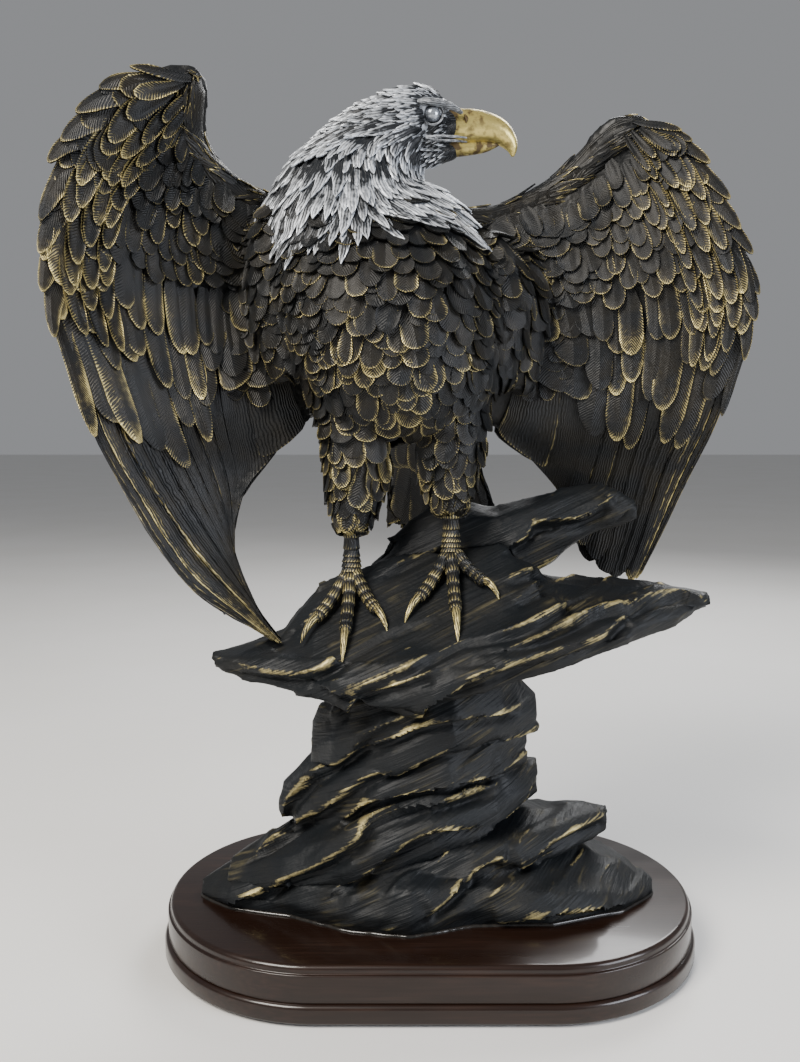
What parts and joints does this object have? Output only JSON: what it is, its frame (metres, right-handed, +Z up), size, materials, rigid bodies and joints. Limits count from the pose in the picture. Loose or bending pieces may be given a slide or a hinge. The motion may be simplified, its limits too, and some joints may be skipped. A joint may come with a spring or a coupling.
{
  "type": "eagle statuette",
  "caption": "Bronze-finish eagle with raised cupped wings, perched on a layered rock outcrop, on a two-board lacquered wooden plinth with round ends.",
  "frame": {"origin": "middle of the plinth's outline, at the surface that the foot pads stand on", "axes": "+Z up, -Y the front, +X to the right of someone facing the front"},
  "size_m": [0.256, 0.132, 0.342],
  "materials": {
    "bronze_patina": "satin",
    "silver_patina": "satin",
    "gilt_bronze": "satin",
    "eye_bead": "gloss",
    "lacquered_wood": "gloss",
    "foot_pad": "matte",
    "steel": "satin",
    "brass_insert": "satin"
  },
  "bodies": {
    "root": {"foot_pads": "foot_pad", "plinth_lower_board": "lacquered_wood", "plinth_upper_board": "lacquered_wood", "board_screws": "steel", "mounting_bolts": "steel", "mounting_washers": "steel", "threaded_inserts": "brass_insert", "rock_base": "bronze_patina", "rock_column": "bronze_patina", "perch_ledge": "bronze_patina", "rear_crag": "bronze_patina", "rock_dowels": "steel", "torso": "bronze_patina", "head": "silver_patina", "beak": "gilt_bronze", "eyes": "eye_bead", "right_wing": "bronze_patina", "left_wing": "bronze_patina", "tail": "bronze_patina", "right_thigh": "bronze_patina", "left_thigh": "bronze_patina", "right_foot": "gilt_bronze", "left_foot": "gilt_bronze", "leg_rods": "steel", "right_wing_pins": "steel", "left_wing_pins": "steel", "neck_pin": "steel", "tail_pin": "steel", "beak_pin": "steel"}
  },
  "joints": []
}
